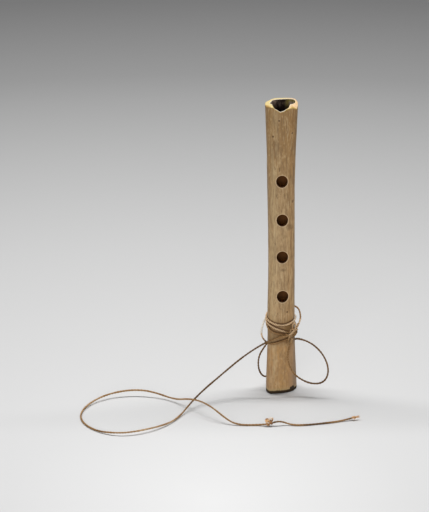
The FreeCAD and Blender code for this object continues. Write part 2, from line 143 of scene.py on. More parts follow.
def smooth_table(at, rows):
    """A smooth reading of a table's columns: between two rows a cubic that has
    at each row the slope of the straight line past its two neighbours."""
    known, values = rows[:, 0], rows[:, 1:]
    slopes = np.gradient(values, known, axis=0)
    at = np.clip(np.asarray(at, float), known[0], known[-1])
    row = np.clip(np.searchsorted(known, at, side="right") - 1, 0, len(known) - 2)
    span = (known[row + 1] - known[row])[..., None]
    share = (at[..., None] - known[row][..., None]) / span
    return cubic(share, span, values[row], values[row + 1], slopes[row], slopes[row + 1])


def bone_section(height):
    """The bone's middle (across, deep), width, depth and skew at each height:
    the table's shares times the flares and the lean."""
    share = np.asarray(height, float) / BONE_LENGTH
    foot, head, lean, skew = np.moveaxis(smooth_table(share, BONE_SECTIONS), -1, 0)
    width = SHAFT_WIDTH + FOOT_WIDER * foot + HEAD_WIDER * head
    depth = SHAFT_DEPTH + FOOT_DEEPER * foot + HEAD_DEEPER * head
    across = FOOT_ACROSS - LEANS_LEFT * lean
    deep = FOOT_DEEP + LEANS_BACK * np.clip(share, 0, 1)
    return across, deep, width, depth, skew


def round_the_bone(turn, off, height, power=OUTSIDE_POWER, shift=0.0):
    """A place beside the bone: the section's superellipse, as much wider and
    deeper all round as the place is off the bone, sheared by the skew. A turn
    of 0 is the front, a quarter of a turn is the right side."""
    across, deep, width, depth, skew = bone_section(height)
    sine, cosine = np.sin(2 * np.pi * turn), -np.cos(2 * np.pi * turn)
    wide = np.sign(sine) * np.abs(sine) ** (2 / power)
    far = np.sign(cosine) * np.abs(cosine) ** (2 / power)
    dual = power / (power - 1)
    reach = (np.abs(skew) ** dual + 1) ** (1 / dual)
    return np.stack([
        across + shift + (width / 2 + off) * wide,
        deep + (depth / 2 + off) * (far + skew * wide) / reach,
        height + 0 * turn,
    ], axis=-1)


# The way along a quarter of a turn, which the stations' climb is a share of.
QUARTER_RUN = 0.0125


def winding_points():
    """Control points of the turns, four to a quarter: between two stations the
    distance off the bone changes evenly and the height follows a cubic with
    the climb that each station has."""
    points = []
    for near, far in zip(WINDING_STATIONS, WINDING_STATIONS[1:]):
        apart = far[0] - near[0]
        share = np.arange(0, 1, 1 / max(1, round(4 * apart)))
        height = cubic(share, QUARTER_RUN * apart, near[2], far[2], near[3], far[3])
        off = near[1] * (1 - share) + far[1] * share
        points.extend(round_the_bone((near[0] + share * apart) / 4, off, height).tolist())
    last = WINDING_STATIONS[-1]
    points.append(round_the_bone(np.array(last[0] / 4), last[1], last[2]).tolist())
    return points


def spline_line(points, step=0.00018):
    """Places a step apart on the smooth spline that these control points make."""
    curve = bpy.data.curves.new("line", "CURVE")
    curve.dimensions = "3D"
    curve.resolution_u = 24
    spline = curve.splines.new("NURBS")
    spline.points.add(len(points) - 1)
    spline.points.foreach_set("co", np.column_stack([points, np.ones(len(points))]).ravel())
    spline.order_u = 3
    spline.use_endpoint_u = True
    carrier = bpy.data.objects.new("line", curve)
    bent = bpy.data.meshes.new_from_object(carrier)
    places = np.empty(len(bent.vertices) * 3)
    bent.vertices.foreach_get("co", places)
    places = places.reshape(-1, 3)
    bpy.data.objects.remove(carrier)
    bpy.data.curves.remove(curve)
    bpy.data.meshes.remove(bent)
    run = np.concatenate([[0], np.cumsum(np.linalg.norm(np.diff(places, axis=0), axis=1))])
    at = np.linspace(0, run[-1], max(4, int(run[-1] / step)))
    return np.column_stack([np.interp(at, run, places[:, axis]) for axis in range(3)])


def unit(vectors):
    """Each vector divided by its length."""
    return vectors / np.maximum(np.linalg.norm(vectors, axis=-1, keepdims=True), 1e-12)


def side_directions(line):
    """Two directions square to the line at each of its places, carried along it
    without turning: each is the one before with its part along the line out."""
    along = unit(np.gradient(line, axis=0))
    side = np.empty_like(along)
    carried = np.cross(along[0], (0.3, 0.2, 0.93))  # any direction square to the start
    for place, heading in enumerate(along):
        carried = carried - heading * carried.dot(heading)
        carried = carried / math.sqrt(carried.dot(carried))
        side[place] = carried
    return along, side, np.cross(along, side)


luck = np.random.default_rng(11)


def slow_wander(count, step, wander):
    """Smooth chance values round zero: random values at every reach along the
    line, read between them by a cosine, times the amount."""
    amount, reach = wander
    knots = luck.normal(size=int(count * step / reach) + 3)
    at = np.arange(count) * step / reach
    base = at.astype(int)
    share = (1 - np.cos(np.pi * (at - base))) / 2
    return amount * (knots[base] * (1 - share) + knots[base + 1] * share)


class Surface:
    """Vertices, faces and the corner values of one mesh, gathered part by part."""

    def __init__(self):
        self.vertices, self.faces, self.uvs, self.attributes = [], [], [], {}
        self.count = 0

    def add(self, places, **attributes):
        """More vertices in a row or a grid, with their value of each attribute.
        The answer is their numbers."""
        shape = places.shape[:-1]
        number = np.arange(math.prod(shape)).reshape(shape) + self.count
        self.count += number.size
        self.vertices.append(places.reshape(-1, 3))
        for name, values in attributes.items():
            self.attributes.setdefault(name, []).append(np.broadcast_to(values, shape).ravel())
        return number

    def tube(self, places, uv, **attributes):
        """A grid of places (along, across, 3): each four neighbours are a face,
        the last column meets the first, and each end is shut by its ring."""
        number = self.add(places, **attributes)
        following = np.roll(number, -1, axis=1)
        quads = np.stack([number[:-1], following[:-1], following[1:], number[1:]], axis=-1)
        self.faces.extend(quads.reshape(-1, 4).tolist())
        corners = np.stack([uv[:-1, :-1], uv[:-1, 1:], uv[1:, 1:], uv[1:, :-1]], axis=2)
        self.uvs.append(corners.reshape(-1, 2))
        for ring, corner in ((number[0, ::-1], uv[0, :1]), (number[-1], uv[-1, :1])):
            self.faces.append(ring.tolist())
            self.uvs.append(np.repeat(corner, len(ring), axis=0))

    def piece(self, name, finish):
        """The mesh as an object that rides on the flute."""
        mesh = bpy.data.meshes.new(name)
        mesh.from_pydata(np.concatenate(self.vertices).tolist(), [], self.faces)
        if self.uvs:
            uvs = mesh.uv_layers.new(name="along").data
            uvs.foreach_set("uv", np.concatenate(self.uvs).ravel())
        for label, values in self.attributes.items():
            carried = mesh.attributes.new(label, "FLOAT", "POINT").data
            carried.foreach_set("value", np.concatenate(values))
        mesh.polygons.foreach_set("use_smooth", np.ones(len(mesh.polygons), bool))
        mesh.materials.append(finish)
        made = bpy.data.objects.new(name, mesh)
        bpy.context.scene.collection.objects.link(made)
        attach(made, "root")
        return made


# Half a ply's width and thickness, and how far its centre is off the cord's.
PLY_WIDE, PLY_THICK, PLY_OFF = 0.00032, 0.00028, 0.00022
PLY_SIDES = 10
# How much the twist, the thickness and the soil wander, and over what length.
TWIST_WANDER, SWELL_WANDER, SOIL_WANDER = (0.8, 0.009), (0.07, 0.004), (0.07, 0.006)
PLY_ROUGH = 0.06


def twist_cord(surface, line, soil, lay=0.0032, thickness=1.0):
    """Two plies twisted round the line: each ply's centre goes round it once in
    a lay, a little off it, and carries an ellipse whose short way points out.
    Its soil is a table of shares of the line's length and the value there: the cord's soil, which
    also paints the light and shade of each stretch."""
    along, side, up = side_directions(line)
    step = np.linalg.norm(line[1] - line[0])
    count = len(line)
    turn = 2 * np.pi * np.arange(count) * step / lay + slow_wander(count, step, TWIST_WANDER)
    swell = 1 + slow_wander(count, step, SWELL_WANDER)
    soil_and_shade_along = np.interp(np.linspace(0, 1, count), *np.transpose(soil)) + slow_wander(
        count, step, SOIL_WANDER)
    around = np.linspace(0, 2 * np.pi, PLY_SIDES, endpoint=False)
    for ply in (0, np.pi):
        outward = np.cos(turn + ply)[:, None] * side + np.sin(turn + ply)[:, None] * up
        centre = line + outward * (PLY_OFF * thickness * swell)[:, None]
        heading = unit(np.gradient(centre, axis=0))
        beside = unit(np.cross(heading, outward))
        rough = 1 + PLY_ROUGH * luck.normal(size=(count, PLY_SIDES))
        size = (thickness * swell)[:, None] * rough
        places = (centre[:, None]
                  + outward[:, None] * (PLY_THICK * size * np.cos(around))[..., None]
                  + beside[:, None] * (PLY_WIDE * size * np.sin(around))[..., None])
        millimetres = (np.arange(count) * step * 1000)[:, None]
        uv = np.stack(np.broadcast_arrays(millimetres, np.linspace(0, 1, PLY_SIDES + 1)), axis=-1)
        # Each ply's side that faces the other carries painted shade where the plies meet.
        surface.tube(places, uv, soil=soil_and_shade_along[:, None], groove=(1 - np.cos(around)) / 2)


def thin_fibre(surface, spine, outward, beside, radii, sides, soil):
    """One fibre: round each place of its spine a ring of that radius, outwards
    by the cosine and sideways by the sine of the angle."""
    around = np.linspace(0, 2 * np.pi, sides, endpoint=False)[:, None]
    ring = np.cos(around) * outward + np.sin(around) * beside
    places = spine[:, None] + radii[..., None] * ring
    surface.tube(places, np.zeros((len(spine), sides + 1, 2)), soil=soil, groove=0.0)


# How far from the cord's middle its fibres leave it, how thick one is, and how
# far it stays above the floor.
STRAY_START, STRAY_THICKNESS, STRAY_LOWEST = 0.00034, 0.00002, 0.00006


def stray_fibres(surface, line, per_metre=1300, reach=0.0008, soil=0.4):
    """Fine fibres that stand off the cord: each leaves its surface nearly along
    it, bends outwards and tapers to its tip."""
    along, side, up = side_directions(line)
    length = np.linalg.norm(np.diff(line, axis=0), axis=1).sum()
    for _ in range(int(length * per_metre)):
        place = luck.integers(1, len(line) - 1)
        turn = luck.uniform(0, 2 * np.pi)
        outward = math.cos(turn) * side[place] + math.sin(turn) * up[place]
        forward = along[place] * luck.choice((-1, 1)) + luck.normal(size=3) * 0.25
        share = np.linspace(0, 1, 4)[:, None]
        size = reach * luck.uniform(0.4, 1.3)
        spine = (line[place] + outward * STRAY_START + forward * share * size
                 + outward * share ** 2 * size * luck.uniform(0.2, 0.9))
        spine[:, 2] = np.maximum(spine[:, 2], STRAY_LOWEST)
        thin_fibre(surface, spine, outward, unit(np.cross(forward, outward)),
                   STRAY_THICKNESS * (1.15 - share), 3, soil)


class Mask:
    """A shader socket that carries one number. Sums, differences, products and
    quotients of it with numbers or other masks add the Math nodes."""

    def __init__(self, finish, socket):
        self.finish, self.socket = finish, socket

    def math(self, operation, first, second):
        return self.finish.node("ShaderNodeMath", {"operation": operation}, {0: first, 1: second})

    def __add__(self, other):
        return self.math("ADD", self, other)

    def __sub__(self, other):
        return self.math("SUBTRACT", self, other)

    def __rsub__(self, other):
        return self.math("SUBTRACT", other, self)

    def __mul__(self, other):
        return self.math("MULTIPLY", self, other)

    def __truediv__(self, other):
        return self.math("DIVIDE", self, other)

    def __rtruediv__(self, other):
        return self.math("DIVIDE", other, self)

    __radd__ = __add__
    __rmul__ = __mul__

    def most(self, other):
        return self.math("MAXIMUM", self, other)

    def between(self, low, high):
        """0 below low, 1 above high, and a smooth rise from one to the other."""
        return self.finish.node("ShaderNodeMapRange", {"interpolation_type": "SMOOTHSTEP"},
                                {0: self, 1: low, 2: high})


class Finish:
    """A procedural material. Every node of it comes from the node method."""

    def __init__(self, name, **constants):
        self.material = bpy.data.materials.new(name)
        self.material.use_nodes = True
        self.tree = self.material.node_tree
        self.shader = self.tree.nodes["Principled BSDF"]
        for socket, value in constants.items():
            self.shader.inputs[socket.replace("_", " ")].default_value = value

    def node(self, kind, settings, sockets, output=0):
        """A node of that kind, its settings first, then its sockets' values or
        links. The answer is one of its outputs."""
        made = self.tree.nodes.new(kind)
        for name, value in settings.items():
            if name == "stops":
                while len(made.color_ramp.elements) < len(value):
                    made.color_ramp.elements.new(0.5)
                for element, (place, colour) in zip(made.color_ramp.elements, value):
                    element.position, element.color = place, (*colour, 1)
            else:
                setattr(made, name, value)
        for key, value in sockets.items():
            if isinstance(value, Mask):
                self.tree.links.new(value.socket, made.inputs[key])
            else:
                made.inputs[key].default_value = value
        return Mask(self, made.outputs[output])

    def mix(self, share, first, second):
        """The first colour, as far as the share goes the second."""
        first, second = (c if isinstance(c, Mask) else (*c, 1) for c in (first, second))
        return self.node("ShaderNodeMix", {"data_type": "RGBA"},
                         {0: share, 6: first, 7: second}, output=2)

    def layers(self, base, rows):
        """The base with each row's colour over it, as far as the row's mask goes."""
        for mask, colour in rows:
            base = self.mix(mask, base, colour)
        return base

    def attribute(self, name):
        """A number that the mesh carries."""
        return self.node("ShaderNodeAttribute", {"attribute_name": name}, {}, output=2)

    def place(self, kind="Object"):
        return self.node("ShaderNodeTexCoord", {}, {}, output=kind)

    def stretched(self, place, scale, shift=(0, 0, 0)):
        return self.node("ShaderNodeMapping", {}, {
            "Vector": place, "Scale": scale, "Location": shift})

    def noise(self, place, scale, detail, rough, twist=0.0):
        return self.node("ShaderNodeTexNoise", {}, {
            "Vector": place, "Scale": scale, "Detail": detail, "Roughness": rough,
            "Distortion": twist})

    def feed(self, **inputs):
        """Links to the shader's own sockets."""
        for name, value in inputs.items():
            self.tree.links.new(value.socket, self.shader.inputs[name.replace("_", " ")])

    def bump(self, height, distance, strength=1.0):
        self.feed(Normal=self.node("ShaderNodeBump", {}, {
            "Height": height, "Distance": distance, "Strength": strength}))


PALE_FIBRE, SOILED_FIBRE = (0.74, 0.71, 0.64), (0.116, 0.061, 0.023)


def fibre_finish(name, clean, rubbed):
    """Twisted plant fibre: fine streaks that slant along the ply, with painted shade
    where the plies meet. Along the cord its soil runs from below 0 (pale) over 0
    (clean) and a half (rubbed brown) to 1 (soiled), and it also paints each
    stretch's light and shade."""
    finish = Finish(name, Roughness=0.85, Specular_IOR_Level=0.15)
    along = finish.place("UV")
    streaks = finish.noise(finish.stretched(along, (0.9, 9.0, 1.0)), 1.6, 2.0, 0.6, 0.3)
    blotches = finish.noise(finish.place(), 420.0, 3.0, 0.6)
    soil = finish.attribute("soil") + (blotches - 0.5) * 0.45
    pale_share = soil.between(-0.1, -0.6)
    light_share = streaks.between(0.45, 0.75) * (0.60 - 0.45 * soil.between(0.3, 1.0))
    lighter, shaded = tuple(min(1, 1.25 * c) for c in clean), tuple(0.30 * c for c in rubbed)
    # Painted shade where the two plies meet.
    groove = finish.attribute("groove").between(0.30, 0.90)
    finish.feed(Base_Color=finish.layers(clean, (
        (pale_share, PALE_FIBRE),
        (soil.between(0.0, 0.5), rubbed),
        (soil.between(0.5, 1.0), SOILED_FIBRE),
        (light_share, lighter),
        (groove * (0.8 - 0.65 * pale_share), shaded))))
    finish.bump(streaks, 0.00006)
    return finish.material


fibre = fibre_finish("twisted_fibre", clean=(0.66, 0.46, 0.27), rubbed=(0.280, 0.150, 0.054))
knot_fibre = fibre_finish("knotted_fibre", clean=(0.72, 0.43, 0.21), rubbed=(0.27, 0.13, 0.055))


def plain_cord(name, line, soil):
    """A length of cord on its line, with its stray fibres, as one piece."""
    surface = Surface()
    twist_cord(surface, line, soil)
    stray_fibres(surface, line)
    return surface.piece(name, fibre)


# The soil along the cord, with painted light and shade, as the share of its length and
# the value there: first the winding, which is pale where it stands off the bone, then the two
# bights.
WOUND_SOIL_AND_SHADE = (
    (0.00, -0.25), (0.014, -0.10), (0.022, 0.65), (0.05, 0.65), (0.08, 0.15), (0.10, 0.00),
    (0.14, 0.00), (0.155, -0.35), (0.17, -0.30), (0.19, 0.20), (0.215, 0.00), (0.258, 0.00),
    (0.270, 0.60), (0.30, 0.50), (0.35, 0.35), (0.40, 0.45), (0.44, 0.40), (0.455, 0.75),
    (0.469, 0.70), (0.479, -0.30), (0.487, -0.85), (0.514, -0.85), (0.523, 0.10), (0.530, 0.85),
    (0.539, 0.85), (0.545, 0.50), (0.585, 0.45), (0.61, 0.90), (0.930, 0.90), (0.945, 0.65),
    (1.00, 0.45))
wound_line = spline_line(list(LASHING_TO_WINDING) + winding_points() + list(BIGHT_POINTS))
wound_cord = plain_cord("wound_cord", wound_line, WOUND_SOIL_AND_SHADE)
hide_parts("cord_winding", "cord_bights")


# The lashing knot: the cord's first end is tied over the turns at the lower right
# front. Two strands lie side by side and slant up to the right, a third is wrapped
# round both at each end, and its short cut end sticks out at the right.

LASHING_MIDDLE = np.array((0.0059, -0.0079, 0.0361))
LASHING_ALONG = unit(np.array((0.65, 0.26, 0.71)))
LASHING_OUT = unit(np.array((0.45, -0.89, 0.0)))
# How much the bundle bends back round the bone, by its distance along squared.
LASHING_BEND = 30.0
# Places in the knot: along the bundle, across it to the upper left, and out from the bone.
LEFT_STRAND = (
    (-0.0062, 0.0032, -0.0006), (-0.0049, 0.0020, -0.0001), (-0.0037, 0.0009, 0.0003),
    (-0.0024, 0.0003, 0.0007), (-0.0010, 0.0002, 0.0009), (0.0006, 0.0003, 0.0009),
    (0.0022, 0.0003, 0.0008), (0.0036, 0.0007, 0.0006), (0.0044, 0.0015, 0.0004),
    (0.0044, 0.0023, 0.0000), (0.0036, 0.0024, -0.0003), (0.0026, 0.0016, -0.0005),
    (0.0014, 0.0006, -0.0006),
)
RIGHT_STRAND = (
    (0.0054, -0.0003, -0.0004), (0.0044, -0.0006, 0.0000), (0.0030, -0.0006, 0.0004),
    (0.0014, -0.0006, 0.0006), (-0.0002, -0.0006, 0.0007), (-0.0018, -0.0006, 0.0006),
    (-0.0031, -0.0009, 0.0004), (-0.0042, -0.0016, 0.0002), (-0.0051, -0.0027, 0.0000),
    (-0.0058, -0.0038, -0.0003),
)
WRAP_STRAND = (
    (-0.0030, 0.0016, -0.0004), (-0.0028, 0.0006, 0.0009), (-0.0024, -0.0005, 0.0015),
    (-0.0020, -0.0014, 0.0008), (-0.0016, -0.0014, -0.0004), (-0.0008, -0.0002, -0.0009),
    (0.0004, 0.0011, -0.0006), (0.0014, 0.0012, 0.0005), (0.0021, 0.0004, 0.0016),
    (0.0026, -0.0007, 0.0015), (0.0028, -0.0015, 0.0004), (0.0025, -0.0018, -0.0006),
    (0.0020, -0.0024, -0.0009), (0.0016, -0.0032, -0.0011), (0.0014, -0.0038, -0.0013),
)
# Each strand's soil, with painted light and shade, as the share of its length and the value there.
LASHING_STRANDS = (
    (LEFT_STRAND, ((0, 0.60), (0.2, 0.40), (0.33, 0.0), (0.45, -0.2), (0.75, -0.1), (1, 0.4))),
    (RIGHT_STRAND, ((0, 0.30), (0.4, 0.25), (0.7, 0.35), (1, 0.6))),
    (WRAP_STRAND, ((0, 0.50), (0.3, 0.25), (0.5, 0.5), (0.7, 0.35), (0.85, 0.6), (1, 1.2))),
)


def lashing_line(strand):
    """A strand's spline from its places: the knot's middle, and as far along the
    bundle, across it and out as the place says, bent back round the bone."""
    along, across, out = np.hsplit(np.array(strand), 3)
    return spline_line(LASHING_MIDDLE + along * LASHING_ALONG
                       + across * np.cross(LASHING_OUT, LASHING_ALONG)
                       + (out - LASHING_BEND * along ** 2) * LASHING_OUT)


lashing_surface = Surface()
lashing_lines = [lashing_line(strand) for strand, _ in LASHING_STRANDS]
for strand_line, (_, strand_soil_and_shade) in zip(lashing_lines, LASHING_STRANDS):
    twist_cord(lashing_surface, strand_line, strand_soil_and_shade, lay=0.0028, thickness=0.92)
    stray_fibres(lashing_surface, strand_line, per_metre=2000, reach=0.0009, soil=0.3)
lashing_knot = lashing_surface.piece("cord_lashing_knot", fibre)
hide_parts("lashing_knot")


# The stopper knot: a small round knot of three lobes, tied in the same cord where
# it lies on the floor in front of the flute. Fibres stand off it.

STOPPER_MIDDLE = np.array((-0.0062, -0.0451, 0.0026))
RUN_END, TAIL_START = (-0.0083, -0.0454, 0.0010), (-0.0045, -0.0453, 0.0018)
# A lobed knot's control points, and how far open its ring of lobes is at each end.
LOBE_POINTS, LOBE_OPENING = 17, 0.30


def lobed_knot(middle, size, entry, exit_, lean, roll):
    """Control points of an overhand knot: a trefoil, whose place at each angle
    is the sum of a circle and a double-speed circle, cut open at its foot, with
    the points where the cord comes in and goes out."""
    angle = np.linspace(LOBE_OPENING, 2 * np.pi - LOBE_OPENING, LOBE_POINTS) + np.pi
    flat = np.stack([-np.sin(angle) - 2 * np.sin(2 * angle), -np.sin(3 * angle) * 1.1,
                     np.cos(angle) - 2 * np.cos(2 * angle)], axis=-1) * size
    sine, cosine = math.sin(roll), math.cos(roll)
    flat = flat @ np.array(((cosine, 0, sine), (0, 1, 0), (-sine, 0, cosine)))
    sine, cosine = math.sin(lean), math.cos(lean)
    turned = flat @ np.array(((1, 0, 0), (0, cosine, sine), (0, -sine, cosine)))
    return [*entry, *(middle + turned).tolist(), *exit_]


# The soil along the knot's strand and along the coil inside it, with painted shade
# between the lobes, as the share of the length and the value there.
STOPPER_SOIL_AND_SHADE = (
    (0, 0.6), (0.12, 0.5), (0.20, -0.3), (0.34, -0.5), (0.42, 0.5), (0.50, -0.65), (0.62, -0.5),
    (0.70, 0.6), (0.8, 0.4), (0.9, 0.8), (1, 0.9))
CORE_SOIL_AND_SHADE = ((0, 0.4), (0.4, 0.0), (0.6, 0.5), (0.8, 0.0), (1, 0.5))
CORE_MIDDLE = STOPPER_MIDDLE + np.array((-0.0004, -0.0003, -0.0006))
stopper_line = spline_line(lobed_knot(
    STOPPER_MIDDLE, 0.00068, [RUN_END, (-0.0075, -0.0454, 0.0010)],
    [(-0.0052, -0.0454, 0.0014), TAIL_START], lean=-0.35, roll=0.30), 0.00014)
core_line = spline_line(lobed_knot(CORE_MIDDLE, 0.00044, [], [], lean=-0.10, roll=1.45), 0.00014)
stopper_surface = Surface()
twist_cord(stopper_surface, stopper_line, STOPPER_SOIL_AND_SHADE, thickness=1.1)
twist_cord(stopper_surface, core_line, CORE_SOIL_AND_SHADE, thickness=1.35)
stray_fibres(stopper_surface, stopper_line, per_metre=3000, reach=0.0011, soil=0.1)
stopper_knot = stopper_surface.piece("cord_stopper_knot", knot_fibre)
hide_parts("stopper_knot")


# The free run: the same cord leaves the lashing knot to the left, comes down to
# the floor, lies there in one wide loop that passes over itself, and ends in a knot.

RUN_POINTS = (
    (0.0027, -0.0079, 0.0338), (0.0004, -0.0082, 0.0332),
    (-0.0042, -0.0085, 0.0319), (-0.0092, -0.0074, 0.0289), (-0.0147, -0.0063, 0.0247),
    (-0.0206, -0.0070, 0.0204), (-0.0266, -0.0100, 0.0164), (-0.0327, -0.0133, 0.0122),
    (-0.0387, -0.0171, 0.0084), (-0.0438, -0.0215, 0.0052), (-0.0482, -0.0275, 0.0026),
    (-0.0518, -0.0339, 0.0007), (-0.0561, -0.0416, 0.0007), (-0.0614, -0.0475, 0.0013),
    (-0.0675, -0.0520, 0.0018), (-0.0740, -0.0552, 0.0019), (-0.0805, -0.0567, 0.0017),
    (-0.0871, -0.0559, 0.0014), (-0.0933, -0.0530, 0.0007), (-0.0989, -0.0480, 0.0006),
    (-0.1028, -0.0410, 0.0006), (-0.1040, -0.0330, 0.0006), (-0.1020, -0.0252, 0.0007),
    (-0.0976, -0.0187, 0.0015), (-0.0918, -0.0139, 0.0023), (-0.0851, -0.0109, 0.0029),
    (-0.0780, -0.0097, 0.0034), (-0.0709, -0.0101, 0.0034), (-0.0641, -0.0120, 0.0025),
    (-0.0580, -0.0152, 0.0016), (-0.0533, -0.0190, 0.0024), (-0.0488, -0.0230, 0.0047),
    (-0.0435, -0.0281, 0.0065), (-0.0385, -0.0336, 0.0069), (-0.0340, -0.0380, 0.0056),
    (-0.0300, -0.0415, 0.0036), (-0.0255, -0.0441, 0.0014), (-0.0214, -0.0450, 0.0006),
    (-0.0177, -0.0452, 0.0005), (-0.0142, -0.0451, 0.0005), (-0.0113, -0.0451, 0.0006),
    RUN_END,
)
# The soil along the run, with painted light and shade: dark from the knot to the floor, lighter on
# the loop.
RUN_SOIL_AND_SHADE = (
    (0.00, 0.50), (0.025, 0.62), (0.045, 1.00), (0.22, 0.95), (0.27, 0.50), (0.34, 0.36),
    (0.42, 0.42), (0.50, 0.60), (0.56, 0.34), (0.64, 0.34), (0.75, 0.60), (0.85, 0.40),
    (0.95, 0.50), (1.00, 0.45))
run_line = spline_line(RUN_POINTS)
free_run = plain_cord("cord_free_run", run_line, RUN_SOIL_AND_SHADE)
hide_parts("cord_run")


# The tip knot: the cord's last end is knotted small, and the fibres past the
# knot have come untwisted into a tuft.

TIP_MIDDLE = np.array((0.0375, -0.0385, 0.0015))
TIP_ENTRY = (0.0357, -0.0389, 0.0011)
TIP_SOIL_AND_SHADE = ((0, 0.9), (0.25, 0.35), (0.6, 0.3), (1, 0.1))
TUFT_START, TUFT_AHEAD = np.array((0.0387, -0.0382, 0.0017)), unit(np.array((0.97, 0.22, -0.02)))
TUFT_BESIDE = unit(np.cross(TUFT_AHEAD, (0.1, 0.2, 0.97)))
TUFT_FIBRES, TUFT_THICKNESS, TUFT_SOIL = 60, 0.00007, -0.2
# How thick the tuft is at its start, how far its fibres fan out, and how far they
# stay above the floor.
TUFT_BUNDLE, TUFT_FAN, TUFT_LOWEST = 0.00014, 0.0022, 0.0001
tip_line = spline_line(lobed_knot(
    TIP_MIDDLE, 0.00030, [TIP_ENTRY, (0.0364, -0.0387, 0.0013)],
    [(0.0384, -0.0383, 0.0016), (0.0391, -0.0381, 0.0017)], lean=0.9, roll=-0.2), 0.00012)
tip_surface = Surface()
twist_cord(tip_surface, tip_line, TIP_SOIL_AND_SHADE)
stray_fibres(tip_surface, tip_line, per_metre=3000, soil=0.1)
for _ in range(TUFT_FIBRES):
    share = np.linspace(0, 1, 7)[:, None]
    aside = luck.normal(size=3) * (0.10, 0.22, 0.22)
    spine = (TUFT_START + luck.normal(size=3) * TUFT_BUNDLE
             + TUFT_AHEAD * share * luck.uniform(0.0010, 0.0023) + aside * share ** 1.6 * TUFT_FAN)
    spine[:, 2] = np.maximum(spine[:, 2], TUFT_LOWEST)
    thin_fibre(tip_surface, spine, np.cross(TUFT_BESIDE, TUFT_AHEAD), TUFT_BESIDE,
               TUFT_THICKNESS * (1.1 - share), 5, TUFT_SOIL)
tip_knot = tip_surface.piece("cord_tip_knot", knot_fibre)
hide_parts("tip_knot")


# The tail: past the stopper knot the cord lies on the floor to the right, up to
# the small knot at its tip.

TAIL_POINTS = (
    TAIL_START, (-0.0034, -0.0452, 0.0022), (-0.0011, -0.0448, 0.0023),
    (0.0010, -0.0444, 0.0018), (0.0031, -0.0445, 0.0010), (0.0054, -0.0450, 0.0006),
    (0.0085, -0.0454, 0.0005), (0.0136, -0.0449, 0.0005), (0.0188, -0.0438, 0.0005),
    (0.0240, -0.0426, 0.0005), (0.0292, -0.0411, 0.0005), (0.0330, -0.0396, 0.0007),
    TIP_ENTRY,
)
TAIL_SOIL_AND_SHADE = (
    (0, 0.9), (0.2, 0.6), (0.35, 0.42), (0.48, 0.95), (0.62, 0.95), (0.75, 0.60), (0.86, 0.42),
    (0.93, 0.65), (1, 0.9))
tail_line = spline_line(TAIL_POINTS)
tail = plain_cord("cord_free_tail", tail_line, TAIL_SOIL_AND_SHADE)
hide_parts("cord_tail")


# The bone tube: one limb bone sawn off square at both ends and rubbed smooth. Its
# marrow cavity is the bore. Four finger holes are bored through the front, the
# lip is notched and worn to a slope, and the foot has lost a chip.

WALL = 0.0020
CAVITY_POWER = 2.1
CAVITY_SHIFT = 0.00035
HOLE_HALF_WIDTH, HOLE_HALF_HEIGHT = 0.0029, 0.0032
# Each hole is how far to the right and how high. It sits in a window of the skin.
FINGER_HOLES = ((0.0, 0.1194), (0.0004, 0.0980), (0.00055, 0.0775), (0.0009, 0.0554))
WINDOW_HALF = 0.0053
NOTCH_MIDDLE, NOTCH_HALF, NOTCH_DEPTH, NOTCH_ROUND = -0.00095, 0.0041, 0.0023, 0.0002
# How hollow the notch's left flank is, how ragged its edge, and how much it is
# thinned inside.
NOTCH_HOLLOW, NOTCH_RAGGED, NOTCH_THINNED = 1.08, 0.00016, 0.0028
# It lies within this share of a turn from the front, and its edge waves this fast.
NOTCH_TURN, RAGGED_WAVES = 0.2, (5200, 2300)
EDGE_ROUND = 0.00022

COLUMNS = 160
ROW_STEP = 0.0008
# The plain rows begin above the foot and end below the lip. They are twice as
# close in the stretch that the cord is wound on.
ROWS_FROM, WOUND_FROM, WOUND_TO, ROWS_TO = 0.0016, 0.026, 0.0458, 0.150
LIP_ROWS = 19
# The foot's edge, as how far in it goes and how high it is.
FOOT_EDGE = ((-0.00080, 0.0), (-0.00040, 0.00008), (-0.00014, 0.00030), (0.0, 0.00080))
# A finger hole's edge, as how much wider than the hole it is and how deep.
HOLE_EDGE = ((0.00135, 0.0), (0.00075, 0.00002), (0.00042, 0.00007), (0.00018, 0.00018),
             (0.00005, 0.00036), (0.0, 0.00062))
# The rim's rings, as shares of the way through the wall.
RIM_SHARES = np.array((0.03, 0.09, 0.18, 0.34, 0.5, 0.66, 0.82, 0.91, 0.97))[:, None]

# Bulges round the bone: each row is how high one is, its turn and its reach. The
# head is fuller at the back right and flatter at the back left, its wall is
# thicker in front and thinner behind, and the lip is worn at both front corners.
HEAD_CORNERS = ((0.0013, 0.405, 0.065), (-0.0011, 0.64, 0.08))
THICKER_WALL = ((0.0018, 0.170, 0.060), (0.0009, 0.81, 0.05))
THINNER_WALL = ((0.0011, 0.36, 0.07), (0.0003, 0.53, 0.12), (0.0012, 0.62, 0.055))
WORN_LIP = ((0.0007, -0.175, 0.075), (0.0016, 0.180, 0.060), (0.0006, 0.03, 0.09))
LOW_SAW_CUT = ((0.0004, 0.70, 0.10),)
LESS_RUBBED = ((0.00042, -0.165, 0.060), (0.00062, 0.130, 0.040))
FOOT_RIDGE = ((0.00035, -0.118, 0.030),)
FOOT_CHIP = ((0.00035, 0.178, 0.024),)
# How high the ridge ends, and the chip's height and its reach up and down.
RIDGE_TOP, CHIP_HEIGHT, CHIP_REACH = 0.05, 0.0006, 0.0017
# Where the head's corners and its uneven wall begin, and over what height they grow.
CORNERS_FROM, CORNERS_RISE = 0.125, 0.035
UNEVEN_FROM, UNEVEN_RISE = 0.140, 0.020

# The skin's slow waves, lengthwise ridges and small pits: how high or deep they
# are, how long they run, and chance values, whose columns go round the bone.
bone_luck = np.random.default_rng(5)
WAVE_HEIGHT, WAVE_RUN, waves = 0.00007, 0.016, bone_luck.normal(size=(16, 10))
STREAK_HEIGHT, STREAK_RUN, streaks = 0.000022, 0.006, bone_luck.normal(size=(40, 56))
PIT_DEPTH, PIT_RUN, pits = 0.000020, 0.002, bone_luck.normal(size=(90, 60))


